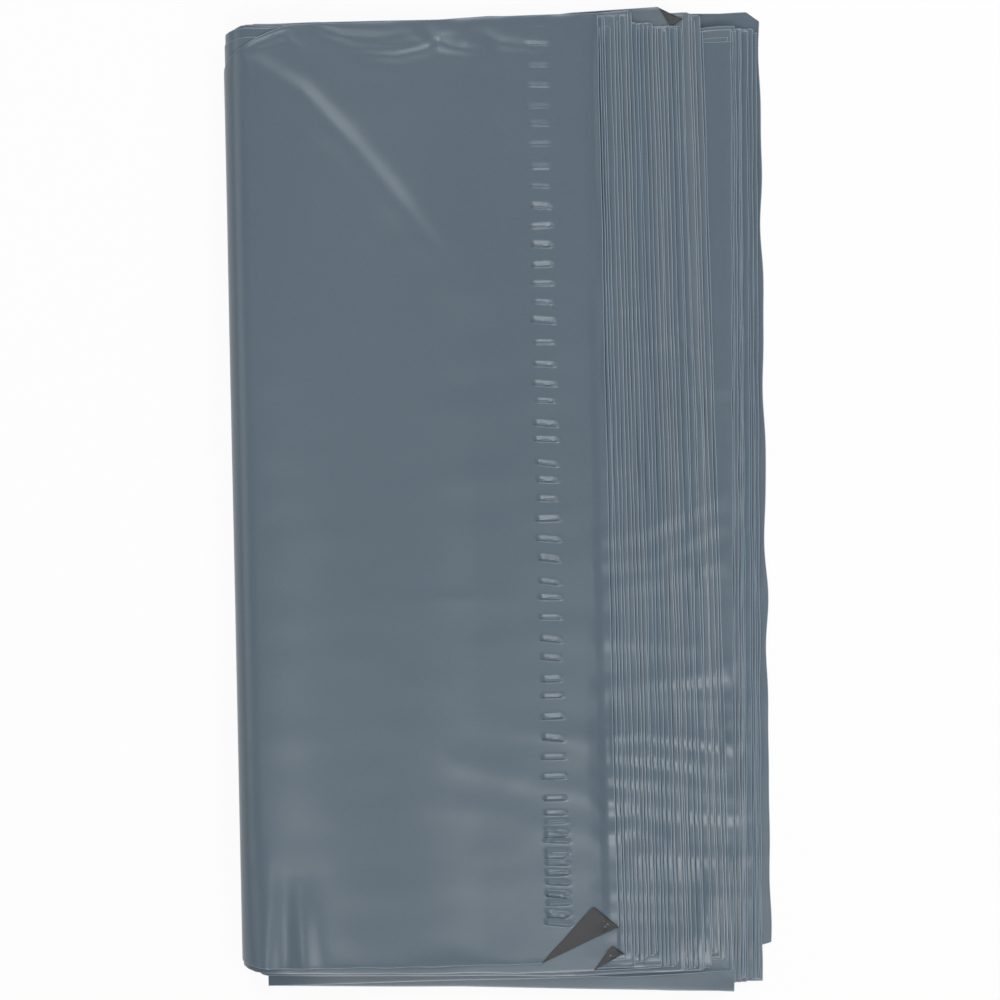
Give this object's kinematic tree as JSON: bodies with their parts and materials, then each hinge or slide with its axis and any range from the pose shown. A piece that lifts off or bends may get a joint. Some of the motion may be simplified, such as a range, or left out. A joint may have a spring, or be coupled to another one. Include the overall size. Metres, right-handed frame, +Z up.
{
  "type": "folded bundle of poly mailer bags",
  "caption": "Bundle of empty grey poly mailer bags, stacked and folded in half together, with the flap edges fanned out in steps and a few corners turned over.",
  "frame": {"origin": "middle of the bundle's footprint, on the ground", "axes": "+Z up, +Y along the fold line, towards the side whose outer corner is drawn in; +X from the fold line to the open ends"},
  "size_m": [0.242, 0.4438, 0.0237],
  "materials": {
    "grey_film": "satin grey polyethylene film",
    "release_film": "pale matt release film"
  },
  "bodies": {
    "root": {"mailer_bag_01": "grey_film", "release_liner_01": "release_film", "mailer_bag_02": "grey_film", "release_liner_02": "release_film", "mailer_bag_03": "grey_film", "release_liner_03": "release_film", "mailer_bag_04": "grey_film", "release_liner_04": "release_film", "mailer_bag_05": "grey_film", "release_liner_05": "release_film", "mailer_bag_06": "grey_film", "release_liner_06": "release_film", "mailer_bag_07": "grey_film", "release_liner_07": "release_film", "mailer_bag_08": "grey_film", "release_liner_08": "release_film", "mailer_bag_09": "grey_film", "release_liner_09": "release_film", "mailer_bag_10": "grey_film", "release_liner_10": "release_film", "mailer_bag_11": "grey_film", "release_liner_11": "release_film", "mailer_bag_12": "grey_film", "release_liner_12": "release_film", "mailer_bag_13": "grey_film", "release_liner_13": "release_film", "mailer_bag_14": "grey_film", "release_liner_14": "release_film", "mailer_bag_15": "grey_film", "release_liner_15": "release_film", "mailer_bag_16": "grey_film", "release_liner_16": "release_film", "mailer_bag_17": "grey_film", "release_liner_17": "release_film", "mailer_bag_18": "grey_film", "release_liner_18": "release_film", "mailer_bag_19": "grey_film", "release_liner_19": "release_film", "mailer_bag_20": "grey_film", "release_liner_20": "release_film", "mailer_bag_21": "grey_film", "release_liner_21": "release_film", "mailer_bag_22": "grey_film", "release_liner_22": "release_film", "mailer_bag_23": "grey_film", "release_liner_23": "release_film", "mailer_bag_24": "grey_film", "release_liner_24": "release_film", "mailer_bag_25": "grey_film", "release_liner_25": "release_film", "mailer_bag_26": "grey_film", "release_liner_26": "release_film", "mailer_bag_27": "grey_film", "release_liner_27": "release_film", "mailer_bag_28": "grey_film", "release_liner_28": "release_film", "mailer_bag_29": "grey_film", "release_liner_29": "release_film", "mailer_bag_30": "grey_film", "release_liner_30": "release_film"}
  },
  "joints": []
}
